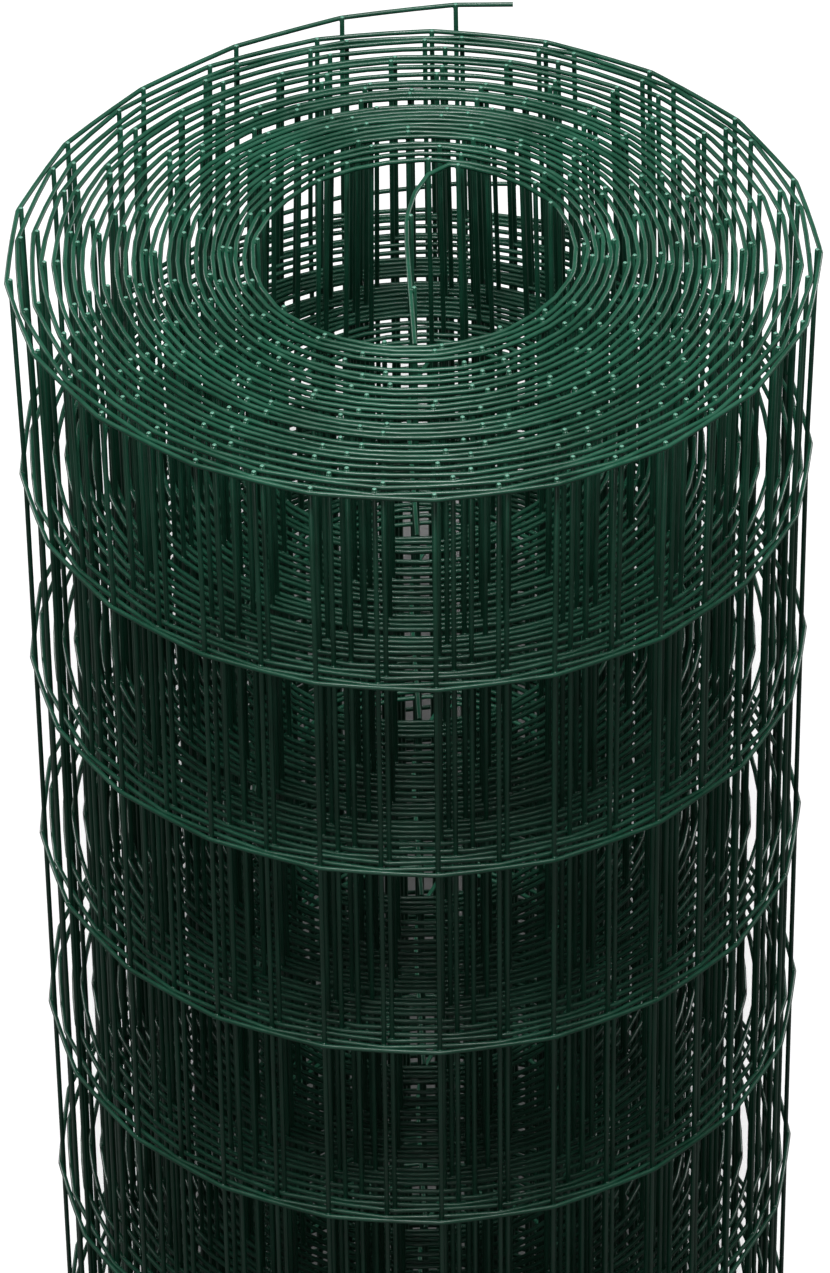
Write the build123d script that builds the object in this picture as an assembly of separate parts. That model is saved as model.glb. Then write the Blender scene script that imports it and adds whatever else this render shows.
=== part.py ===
from build123d import *
import math
import os

# A roll of plastic-coated welded wire mesh fencing, standing on end.
# The mesh is one welded sheet of wire, wound into a spiral whose turns show on both ends.
# Its outer end springs off the roll, so its wires and their welds are modelled one by one.
# The origin is on the axis of the roll, at the floor. +Z runs up the roll.
# Seen from above, the sheet winds clockwise from the bore outwards.

# The mesh, in mm
LINE_WIRE_SPACING = 101.6  # between the wires that run round the roll
SQUARES_HIGH = 10
UPRIGHT_WIRE_PITCH = 50.8  # along the sheet
WIRE_DIAMETER = 2.1  # over the plastic coating
WELD_DEPTH = 0.5  # how far two wires sink into each other where they cross
TIP_OVERHANG = 2.0  # of an upright wire past the middle of the last line wire

# The winding, in mm and degrees
TURNS = 27
BENDS_PER_TURN = 18  # the real sheet makes 8 in its first turn and 21 in its last
BORE_RADIUS = 65.0
OUTER_RADIUS = 169.5  # where the outer turn leaves the roll
INNER_END_ANGLE = 85.0  # where the first turn starts, counted from +X
END_GAP_DEPTH = 20.0  # how deep the gaps between the turns reach into each end

# The loose outer end, in mm and degrees
OUTER_END_ANGLE = 76.0
FREE_ARC = 61.0  # the last part of the outer turn, which stands off the roll
FREE_END_RISE = 22.0  # how far the very end stands off

# What follows from these
HEIGHT = SQUARES_HIGH * LINE_WIRE_SPACING + 2 * TIP_OVERHANG
SHEET_THICKNESS = 2 * WIRE_DIAMETER - WELD_DEPTH  # upright wires inside, line wires outside
TURN_PITCH = (OUTER_RADIUS - BORE_RADIUS - SHEET_THICKNESS) / TURNS
WOUND_END = 360 * TURNS + INNER_END_ANGLE - OUTER_END_ANGLE
FREE_START = WOUND_END - FREE_ARC
LINE_WIRE_STUB = UPRIGHT_WIRE_PITCH / 2  # the mesh is cut midway between two upright wires


def inner_side(wound):
    """Radius of the sheet's inner side, after winding through an angle in degrees."""
    radius = BORE_RADIUS + TURN_PITCH * wound / 360
    if wound > FREE_START:
        radius += FREE_END_RISE * ((wound - FREE_START) / FREE_ARC) ** 2
    return radius


def at(wound, depth):
    """Plan position on the sheet, depth mm outwards of its inner side."""
    angle = math.radians(INNER_END_ANGLE - wound)
    radius = inner_side(wound) + depth
    return (radius * math.cos(angle), radius * math.sin(angle))


def tight_kinks():
    """Winding angles of the bends in the tight turns, which the sheet makes over its upright wires."""
    count = round(BENDS_PER_TURN * FREE_START / 360)
    return [FREE_START * n / count for n in range(count + 1)]


def loose_welds():
    """Winding angles of the upright wires that stand off the roll."""
    welds = []
    wound = WOUND_END - math.degrees(LINE_WIRE_STUB / inner_side(WOUND_END))
    while wound > FREE_START:
        welds.insert(0, wound)
        wound -= math.degrees(UPRIGHT_WIRE_PITCH / inner_side(wound))
    return welds


def plan_face(corners):
    return make_face(Polyline(*corners, close=True))


def line_wire_plan(angles):
    """Plan of a line wire, which lies outside the upright wires, over a run of winding angles."""
    outside = [at(wound, SHEET_THICKNESS) for wound in angles]
    inside = [at(wound, SHEET_THICKNESS - WIRE_DIAMETER) for wound in reversed(angles)]
    return plan_face(outside + inside)


def filled_plan(angles, depth):
    """Plan of the filled roll, out to a depth in the sheet of its last tight turn, less the bore."""
    last_turn = [wound for wound in angles if wound > FREE_START - 360]
    return plan_face([at(wound, depth) for wound in last_turn]) - Circle(BORE_RADIUS)


def at_each_line_wire(plan):
    """The plan, one wire thick, at the height of every line wire."""
    layer = extrude(plan, WIRE_DIAMETER)
    lowest = TIP_OVERHANG - WIRE_DIAMETER / 2
    return [Pos(0, 0, lowest + n * LINE_WIRE_SPACING) * layer for n in range(SQUARES_HIGH + 1)]


def end_turns(angles):
    """The turns that show on one end of the roll, and the round band that bounds the bore."""
    first_uprights = Circle(BORE_RADIUS + WIRE_DIAMETER) - Circle(BORE_RADIUS)
    return extrude(line_wire_plan(angles) + first_uprights, END_GAP_DEPTH)


def loose_wires(angles):
    """The line wires and upright wires of the outer end, which holds on to the last tight bend."""
    welds = loose_welds()
    line_wires = at_each_line_wire(line_wire_plan(angles[-2:] + welds + [WOUND_END]))
    upright = extrude(Circle(WIRE_DIAMETER / 2), HEIGHT)
    return line_wires + [Pos(*at(weld, WIRE_DIAMETER / 2), 0) * upright for weld in welds]


def wire_mesh_roll():
    angles = tight_kinks()
    uprights = extrude(filled_plan(angles, WIRE_DIAMETER), HEIGHT - 2 * END_GAP_DEPTH)
    roll = Pos(0, 0, END_GAP_DEPTH) * uprights
    roll += at_each_line_wire(filled_plan(angles, SHEET_THICKNESS))[1:-1]
    turns = end_turns(angles)
    roll += [turns, Pos(0, 0, HEIGHT - END_GAP_DEPTH) * turns]
    roll += loose_wires(angles)
    return roll


def write(name, shape):
    shape.label = name
    export_step(shape, os.path.join("parts", name + ".step"))


os.makedirs("parts", exist_ok=True)
write("wire_mesh_roll", wire_mesh_roll())
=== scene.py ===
import bpy
import math
import random
from bisect import bisect_right
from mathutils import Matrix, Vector, noise


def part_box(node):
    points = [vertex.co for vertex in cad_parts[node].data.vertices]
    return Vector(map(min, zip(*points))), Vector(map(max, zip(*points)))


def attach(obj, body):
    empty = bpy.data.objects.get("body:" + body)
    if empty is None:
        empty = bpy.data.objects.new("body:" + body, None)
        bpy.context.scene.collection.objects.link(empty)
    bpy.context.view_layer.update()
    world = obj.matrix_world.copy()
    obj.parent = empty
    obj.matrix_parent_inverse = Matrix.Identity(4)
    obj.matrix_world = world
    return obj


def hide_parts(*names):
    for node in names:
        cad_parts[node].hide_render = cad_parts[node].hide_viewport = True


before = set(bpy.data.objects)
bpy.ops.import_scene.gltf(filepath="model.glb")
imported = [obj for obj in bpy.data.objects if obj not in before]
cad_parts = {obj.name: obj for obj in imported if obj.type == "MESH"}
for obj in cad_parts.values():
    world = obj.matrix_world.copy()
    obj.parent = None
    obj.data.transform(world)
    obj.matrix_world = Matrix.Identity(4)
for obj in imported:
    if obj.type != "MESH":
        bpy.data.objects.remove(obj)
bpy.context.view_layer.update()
bpy.ops.object.select_all(action="DESELECT")

# Line wires
# Eleven smooth steel wires that run the whole length of the sheet, spot-welded to the outside of
# the upright wires. The welded sheet is dipped in green PVC and then wound up. It is stiff, so in
# the outer turns it keeps nearly straight between two upright wires and bends over them.
wire_diameter = 0.0021
weld_depth = 0.0005
line_wire_spacing = 0.1016
squares_high = 10
upright_pitch = 0.0508
tip_overhang = 0.002
roll_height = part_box("wire_mesh_roll")[1][2]
level_heights = [roll_height - tip_overhang - line_wire_spacing * n for n in range(squares_high + 1)]

# The winding from above, with angles in degrees, counted anticlockwise from the right
turns = 27
first_turn_angle = 85
loose_from_angle = 140
loose_end_angle = 75.7
loose_end_rise = 0.0215
loose_end_curve = 1.5
even_gap = 0.0039

# Where the winding lies open or tight: after which turn, on which side in degrees, by how much in mm
opened_spots = [
    (4, 278, 5.5), (5, 262, 2.5), (7, 270, 2.0), (8, 270, 1.3), (9, 270, 1.8), (12, 270, 1.8),
    (13, 270, 1.6), (17, 272, 2.5), (21, 268, 2.4), (22, 270, 2.2), (23, 270, 2.0), (25, 272, 2.0),
    (1, 95, 3.0), (2, 95, 3.0), (4, 95, 3.5), (13, 98, 5.0), (18, 95, 4.0), (19, 92, 4.0),
    (20, 95, 3.0), (22, 96, 5.5), (23, 95, 4.5), (25, 100, 2.0),
    (3, 188, -0.8), (4, 188, -0.8), (5, 188, -0.8), (17, 186, 2.2), (23, 182, 2.0), (24, 185, 0.8),
    (25, 180, 2.4), (3, 8, -0.8), (4, 8, -0.8), (5, 8, -0.8), (21, 5, 0.9), (22, 2, 1.5), (24, 4, 0.8),
    (25, 6, 1.0),
]
spot_reach = 48
spot_softness = 0.3

# Small spots all over. Of many seeds, this one puts the gaps that show at the back of the bore
# nearest to where the real ones are.
small_spots = 70
last_spot_turn = 25
tightest_spot = -0.7
widest_spot = 1.0
chance = random.Random(185)
for spot in range(small_spots):
    after_turn = chance.randint(1, last_spot_turn)
    side = chance.uniform(0, 360)
    opened_spots.append((after_turn, side, chance.uniform(tightest_spot, widest_spot)))

bore_radius = 0.0650
bore_shift = 0.0023
bore_shift_side = -10
bore_oval = 0.0017
bore_oval_side = 195


def bore_edge(angle):
    """Radius of the first turn on each side of the bore, which is off centre and a little oval."""
    return (
        bore_radius
        + bore_shift * math.cos(math.radians(angle - bore_shift_side))
        + bore_oval * math.cos(math.radians(2 * (angle - bore_oval_side)))
    )


outer_radius = 0.1672
outer_oval = 0.0034
outer_shift_forwards = 0.0018
outer_shift_right = 0.0017


def outer_edge(angle):
    """Radius of the last turn on each side of the roll, which is a little wider than it is deep."""
    return (
        outer_radius
        + outer_oval * math.cos(math.radians(2 * angle))
        - outer_shift_forwards * math.sin(math.radians(angle))
        + outer_shift_right * math.cos(math.radians(angle))
    )


def width_up_to(turn, angle):
    """How thick the winding is from the bore out to a turn, on one side, counted in even gaps."""
    width = turn
    for after_turn, spot_angle, extra in opened_spots:
        aside = (spot_angle - angle + 180) % 360 - 180
        middle = after_turn - 0.5 + ((first_turn_angle - spot_angle) % 360 + aside) / 360
        strength = 0.001 * extra / even_gap * math.exp(-((aside / spot_reach) ** 2))
        outside = math.erf((turn - middle) / spot_softness)
        inside = math.erf(middle / spot_softness)
        width += strength * (outside + inside) / 2
    return width


outer_edge_turn = turns - 0.5
loose_start = 360 * turns + first_turn_angle - loose_from_angle


def sheet_radius(wound):
    """Radius of the line wires after winding outwards, clockwise from above, through an angle."""
    angle = first_turn_angle - wound
    share = width_up_to(wound / 360, angle) / width_up_to(outer_edge_turn, angle)
    radius = bore_edge(angle) + (outer_edge(angle) - bore_edge(angle)) * share
    if wound > loose_start:
        loose_share = (wound - loose_start) / (loose_from_angle - loose_end_angle)
        radius += loose_end_rise * loose_share**loose_end_curve
    return radius


# The inner end springs straight back across the bore from its cut end at the front, leaning a
# little to the left, and then bends more and more to the right until it meets the first turn
cut_end_y = -0.063
bend_start_y = 0.008
bend_end_y = 0.064
straight_part_x = -0.002
lean = 0.003
bend_to_the_right = 0.014
inner_end_steps = 12


def inner_end_point(share):
    """The plan position on the inner end, from 0 at its cut end to 1 where it meets the first turn."""
    y = cut_end_y + share * (bend_end_y - cut_end_y)
    before_bend = max(bend_start_y - y, 0) / (bend_start_y - cut_end_y)
    into_bend = max(y - bend_start_y, 0) / (bend_end_y - bend_start_y)
    return Vector((straight_part_x + lean * before_bend + bend_to_the_right * into_bend**3, y))


def wound_point(angle, radius):
    angle = math.radians(angle)
    return radius * Vector((math.cos(angle), math.sin(angle)))


# The route of the sheet in plan, from its inner cut end to its outer one
wound_start = 10
wound_end = 360 * turns + first_turn_angle - loose_end_angle
wound_step = 2
route = [inner_end_point(step / inner_end_steps) for step in range(inner_end_steps + 1)]
for wound in range(wound_start, math.ceil(wound_end), wound_step):
    route.append(wound_point(first_turn_angle - wound, sheet_radius(wound)))
route.append(wound_point(loose_end_angle, sheet_radius(wound_end)))

length_at = [0.0]
for before, after in zip(route, route[1:]):
    length_at.append(length_at[-1] + (after - before).length)


def along_route(distance):
    """The point of the route at a distance from the inner cut end."""
    low = min(bisect_right(length_at, distance), len(route) - 1) - 1
    share = (distance - length_at[low]) / (length_at[low + 1] - length_at[low])
    return route[low].lerp(route[low + 1], share)


# The sheet is cut midway between two upright wires at its outer end
weld_distances = []
distance = length_at[-1] - upright_pitch / 2
while distance > 0:
    weld_distances.insert(0, distance)
    distance -= upright_pitch
welds = [along_route(distance) for distance in weld_distances]


def outward(index):
    """The direction square to the sheet at a weld, away from the bore."""
    before = welds[max(index - 1, 0)]
    after = welds[min(index + 1, len(welds) - 1)]
    ahead = (after - before).normalized()
    return Vector((-ahead.y, ahead.x))


# The top of the roll spreads a little where nothing holds it, and at the back the loose end draws
# the turns below the top outwards
top_flare = 0.0018
full_flare_radius = 0.168
back_slack = 0.009
full_slack_radius = 0.1
smallest_radius = 0.01


def flare(point, height):
    """How far the sheet at a height lies inwards of where it lies at the top of the roll."""
    radius = max(point.length, smallest_radius)
    below_top = 1 - max(height - level_heights[1], 0) / (level_heights[0] - level_heights[1])
    inwards = top_flare * (radius / full_flare_radius) ** 3
    inwards -= back_slack * max(point.y / radius, 0) ** 2 * min(radius / full_slack_radius, 1)
    return point / radius * inwards * below_top


outer_bow = 0.25
added_inner_bow = 0.65
bow_start_radius = 0.167
bow_growth = 0.03


def bow(radius):
    """How much a wire bows between two welds: 0 is a straight line and 1 the curve of the winding."""
    return outer_bow + added_inner_bow * max(0.0, min(1.0, (bow_start_radius - radius) / bow_growth))


sway = 0.0003
sway_per_metre = 9
lift = 0.0005
lift_per_metre = 7
unlike_levels = 30
steady_radius = 0.03
shares_of_a_square = (0.0, 0.08, 0.36, 0.64, 0.92)


def wire_point(plan, distance, height):
    """A point of a line wire, which sways sideways and up and down a little."""
    sideways = sway * noise.noise(Vector((distance * sway_per_metre, height * unlike_levels, 1)))
    upwards = lift * noise.noise(Vector((distance * lift_per_metre, height * unlike_levels, 9)))
    plan = plan * (1 + sideways / max(plan.length, steady_radius)) - flare(plan, height)
    return (plan.x, plan.y, height + upwards)


def line_wire_points(height):
    points = [wire_point(route[0], 0, height)]
    for index in range(len(welds) - 1):
        here, there = weld_distances[index], weld_distances[index + 1]
        for share in shares_of_a_square:
            distance = here + share * (there - here)
            straight = welds[index].lerp(welds[index + 1], share)
            curved = along_route(distance)
            points.append(wire_point(straight.lerp(curved, bow(straight.length)), distance, height))
    points.append(wire_point(welds[-1], weld_distances[-1], height))
    points.append(wire_point(route[-1], length_at[-1], height))
    return points


def line_wire(height):
    curve = bpy.data.curves.new("line_wire", "CURVE")
    curve.dimensions = "3D"
    curve.twist_mode = "Z_UP"
    curve.bevel_depth = wire_diameter / 2
    curve.bevel_resolution = 2
    curve.use_fill_caps = True
    spline = curve.splines.new("POLY")
    points = line_wire_points(height)
    spline.points.add(len(points) - 1)
    for spline_point, place in zip(spline.points, points):
        spline_point.co = (*place, 1)
    wire = bpy.data.objects.new("line_wire", curve)
    bpy.context.collection.objects.link(wire)
    return wire


# The coating: uneven green PVC, half glossy, with fine runs from the dipping. The top tips of the
# upright wires carry a painted highlight, a paler green where the lamp overhead catches them
deep_green = (0.004, 0.046, 0.024, 1)
light_green = (0.010, 0.080, 0.045, 1)
# Paler green of the painted highlight on the upright wires' top tips
painted_highlight_green = (0.10, 0.26, 0.19, 1)
highlight_depth = wire_diameter / 12
specular_level = 0.4
glossiest = 0.28
dullest = 0.46
run_height = 0.0003
run_strength = 0.35


def blotches(tree, place, scale, detail):
    """A noise pattern on the piece's own coordinates, with that many blotches in a metre."""
    pattern = tree.nodes.new("ShaderNodeTexNoise")
    pattern.inputs["Scale"].default_value = scale
    pattern.inputs["Detail"].default_value = detail
    tree.links.new(place.outputs["Object"], pattern.inputs["Vector"])
    return pattern.outputs["Fac"]


def green_pvc():
    material = bpy.data.materials.new("green_pvc")
    material.use_nodes = True
    tree = material.node_tree
    nodes, links = tree.nodes, tree.links
    shader = nodes["Principled BSDF"]
    shader.inputs["Specular IOR Level"].default_value = specular_level
    place = nodes.new("ShaderNodeTexCoord")

    colour = nodes.new("ShaderNodeValToRGB")
    colour.color_ramp.elements[0].position = 0.35
    colour.color_ramp.elements[0].color = deep_green
    colour.color_ramp.elements[1].position = 0.68
    colour.color_ramp.elements[1].color = light_green
    links.new(blotches(tree, place, scale=35, detail=4), colour.inputs["Fac"])

    axes = nodes.new("ShaderNodeSeparateXYZ")
    links.new(place.outputs["Object"], axes.inputs["Vector"])
    # Painted highlight: the top tips of the upright wires, which face the overhead lamp, turn a paler green
    tip_highlight = nodes.new("ShaderNodeMapRange")
    tip_highlight.inputs["From Min"].default_value = roll_height - highlight_depth
    tip_highlight.inputs["From Max"].default_value = roll_height - highlight_depth / 2
    links.new(axes.outputs["Z"], tip_highlight.inputs["Value"])
    colour_with_highlight = nodes.new("ShaderNodeMix")
    colour_with_highlight.data_type = "RGBA"
    colour_with_highlight.inputs["B"].default_value = painted_highlight_green
    links.new(tip_highlight.outputs["Result"], colour_with_highlight.inputs["Factor"])
    links.new(colour.outputs["Color"], colour_with_highlight.inputs["A"])
    links.new(colour_with_highlight.outputs["Result"], shader.inputs["Base Color"])

    roughness = nodes.new("ShaderNodeMapRange")
    roughness.inputs["From Min"].default_value = 0.3
    roughness.inputs["From Max"].default_value = 0.7
    roughness.inputs["To Min"].default_value = glossiest
    roughness.inputs["To Max"].default_value = dullest
    links.new(blotches(tree, place, scale=140, detail=5), roughness.inputs["Value"])
    links.new(roughness.outputs["Result"], shader.inputs["Roughness"])

    runs = nodes.new("ShaderNodeBump")
    runs.inputs["Strength"].default_value = run_strength
    runs.inputs["Distance"].default_value = run_height
    links.new(blotches(tree, place, scale=420, detail=3), runs.inputs["Height"])
    links.new(runs.outputs["Normal"], shader.inputs["Normal"])
    return material


coating = green_pvc()
smooth_below = math.radians(50)


def joined(wires, name):
    """Turns curves into one mesh piece."""
    for wire in wires:
        wire.select_set(True)
    bpy.context.view_layer.objects.active = wires[0]
    bpy.ops.object.convert(target="MESH")
    bpy.ops.object.join()
    piece = bpy.context.view_layer.objects.active
    piece.name = name
    piece.data.materials.clear()
    piece.data.materials.append(coating)
    bpy.ops.object.shade_smooth_by_angle(angle=smooth_below)
    piece.select_set(False)
    return piece


# Two pieces, because all eleven wires together have over 200,000 triangles
upper_levels = 5
upper_line_wires = joined([line_wire(height) for height in level_heights[:upper_levels]], "upper_line_wires")
lower_line_wires = joined([line_wire(height) for height in level_heights[upper_levels:]], "lower_line_wires")
for piece in (upper_line_wires, lower_line_wires):
    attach(piece, "root")
    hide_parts("wire_mesh_roll")

# Upright wires
# One wire for each 2 inches of the sheet, cropped at both ends just past the last line wires. They
# lie on the inside of the line wires, sunk into them a little at each weld. Each is bent at the
# second line wire from the top, above which it leans with the sheet.
bpy.ops.mesh.primitive_cylinder_add(vertices=8, radius=wire_diameter / 2, depth=roll_height)
rod = bpy.context.object
bpy.ops.object.mode_set(mode="EDIT")
bpy.ops.mesh.select_all(action="SELECT")
bpy.ops.transform.translate(value=(0, 0, roll_height / 2))
bpy.ops.mesh.select_all(action="SELECT")
bpy.ops.mesh.bisect(plane_co=(0, 0, level_heights[1]), plane_no=(0, 0, 1))
bpy.ops.object.mode_set(mode="OBJECT")
cropped_ends = rod.modifiers.new("cropped_ends", "BEVEL")
cropped_ends.width = wire_diameter / 6
cropped_ends.segments = 1
cropped_ends.angle_limit = math.radians(60)
bpy.ops.object.modifier_apply(modifier=cropped_ends.name)


def copies(pattern, name, places):
    """One mesh of many copies of a modelled pattern. Each place turns a vertex into its own point."""
    vertices, faces = [], []
    shape = [vertex.co.copy() for vertex in pattern.data.vertices]
    sides = [tuple(face.vertices) for face in pattern.data.polygons]
    for place in places:
        start = len(vertices)
        vertices += [place(point) for point in shape]
        faces += [tuple(start + corner for corner in side) for side in sides]
    mesh = bpy.data.meshes.new(name)
    mesh.from_pydata(vertices, [], faces)
    mesh.materials.append(coating)
    piece = bpy.data.objects.new(name, mesh)
    bpy.context.collection.objects.link(piece)
    bpy.data.objects.remove(pattern)
    piece.select_set(True)
    bpy.context.view_layer.objects.active = piece
    bpy.ops.object.shade_smooth_by_angle(angle=smooth_below)
    piece.select_set(False)
    return piece


def upright_place(index):
    plan = welds[index] - outward(index) * (wire_diameter - weld_depth)

    def place(point):
        foot = plan - flare(plan, point.z)
        return (foot.x + point.x, foot.y + point.y, point.z)

    return place


upright_wires = copies(rod, "upright_wires", [upright_place(index) for index in range(len(welds))])
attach(upright_wires, "root")
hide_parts("wire_mesh_roll")

# Weld beads
# Where two wires cross, the melted steel and the coating that runs into the corner leave a small
# swelling round both wires.
bead_radius = wire_diameter * 0.68
bpy.ops.mesh.primitive_ico_sphere_add(subdivisions=1, radius=bead_radius)
bead = bpy.context.object


def bead_place(index, height):
    plan = welds[index] - outward(index) * (wire_diameter - weld_depth) / 2
    plan = plan - flare(plan, height)

    def place(point):
        return (plan.x + point.x, plan.y + point.y, height + point.z)

    return place


crossings = [(index, height) for index in range(len(welds)) for height in level_heights]
weld_beads = copies(bead, "weld_beads", [bead_place(index, height) for index, height in crossings])
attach(weld_beads, "root")
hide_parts("wire_mesh_roll")

# Floor
# A white studio floor. It is white to the camera, but throws next to no light back on the roll, as
# a floor much further off would.
floor_as_seen = 0.95
floor_as_light = 0.05
bpy.ops.mesh.primitive_plane_add(size=12, location=(0, 0, 0))
floor = bpy.context.object
floor.name = "floor"
white = bpy.data.materials.new("white_floor")
white.use_nodes = True
nodes, links = white.node_tree.nodes, white.node_tree.links
nodes.remove(nodes["Principled BSDF"])
matt = nodes.new("ShaderNodeBsdfDiffuse")
shade = nodes.new("ShaderNodeMapRange")
shade.inputs["To Min"].default_value = floor_as_light
shade.inputs["To Max"].default_value = floor_as_seen
links.new(shade.outputs["Result"], matt.inputs["Color"])
links.new(matt.outputs["BSDF"], nodes["Material Output"].inputs["Surface"])
floor.data.materials.append(white)

mirrored_share = 0.12


def seen_directly(tree, target):
    """Feeds 1 for what the camera sees, also through glass, part of that for what is mirrored, or 0."""
    rays = tree.nodes.new("ShaderNodeLightPath")
    mirrored = tree.nodes.new("ShaderNodeMath")
    mirrored.operation = "MULTIPLY"
    mirrored.inputs[1].default_value = mirrored_share
    tree.links.new(rays.outputs["Is Glossy Ray"], mirrored.inputs[0])
    in_view = tree.nodes.new("ShaderNodeMath")
    in_view.operation = "MAXIMUM"
    tree.links.new(rays.outputs["Is Camera Ray"], in_view.inputs[0])
    tree.links.new(rays.outputs["Is Transmission Ray"], in_view.inputs[1])
    seen = tree.nodes.new("ShaderNodeMath")
    seen.operation = "MAXIMUM"
    tree.links.new(in_view.outputs["Value"], seen.inputs[0])
    tree.links.new(mirrored.outputs["Value"], seen.inputs[1])
    tree.links.new(seen.outputs["Value"], target)


seen_directly(white.node_tree, shade.inputs["Value"])

# Surroundings
# White to the camera, faint grey in reflections on the wires, and a weak even light on the roll.
surroundings_as_seen = 1.0
surroundings_as_light = 0.07
world = bpy.data.worlds.new("studio")
bpy.context.scene.world = world
world.use_nodes = True
nodes, links = world.node_tree.nodes, world.node_tree.links
background = nodes["Background"]
background.inputs["Color"].default_value = (1, 1, 1, 1)
strength = nodes.new("ShaderNodeMapRange")
strength.inputs["To Min"].default_value = surroundings_as_light
strength.inputs["To Max"].default_value = surroundings_as_seen
seen_directly(world.node_tree, strength.inputs["Value"])
links.new(strength.outputs["Result"], background.inputs["Strength"])

# Lamps
# Four soft lamps light only the roll: a strong one overhead, and weak ones in front and on both
# sides of the back. A sun lights only the floor, from high up in front, so that the roll's shadow
# falls straight back, where the mesh covers it.
roll_pieces = bpy.data.collections.new("roll_pieces")
for piece in (upper_line_wires, lower_line_wires, upright_wires, weld_beads):
    roll_pieces.objects.link(piece)
floor_pieces = bpy.data.collections.new("floor_pieces")
floor_pieces.objects.link(floor)

lamp_size = 0.8
lit_point = Vector((0, 0, 0.7))
for name, place, energy in (
    ("overhead_lamp", (-0.05, -0.25, 3.4), 95),
    ("front_lamp", (-0.3, -2.3, 1.2), 5),
    ("back_left_lamp", (-1.9, 1.5, 1.3), 24),
    ("back_right_lamp", (1.9, 1.5, 1.3), 24),
):
    bpy.ops.object.light_add(type="AREA", location=place)
    lamp = bpy.context.object
    lamp.name = name
    lamp.data.size = lamp_size
    lamp.data.energy = energy
    aim = lit_point - lamp.location
    lamp.rotation_euler = aim.to_track_quat("-Z", "Y").to_euler()
    lamp.light_linking.receiver_collection = roll_pieces

sun_height = 44
sun_width = 8
bpy.ops.object.light_add(type="SUN", rotation=(math.radians(90 - sun_height), 0, 0))
floor_lamp = bpy.context.object
floor_lamp.name = "floor_lamp"
floor_lamp.data.energy = 5.5
floor_lamp.data.angle = math.radians(sun_width)
floor_lamp.light_linking.receiver_collection = floor_pieces

# Camera
# It looks down on the top of the roll from its front, and crops the foot of the roll.
camera_x = -0.0005
camera_y = -2.476
camera_above_top_wire = 1.8539
looks_down = 39.8
leans = -0.73
bpy.ops.object.camera_add(
    location=(camera_x, camera_y, roll_height - tip_overhang + camera_above_top_wire),
    rotation=(math.radians(90 - looks_down), 0, 0),
)
camera = bpy.context.object
camera.rotation_euler.rotate_axis("Z", math.radians(leans))
camera.data.sensor_fit = "VERTICAL"
camera.data.sensor_height = 36
camera.data.lens = 208.6
bpy.context.scene.camera = camera
bpy.context.scene.view_settings.view_transform = "Standard"

bpy.ops.object.select_all(action="DESELECT")
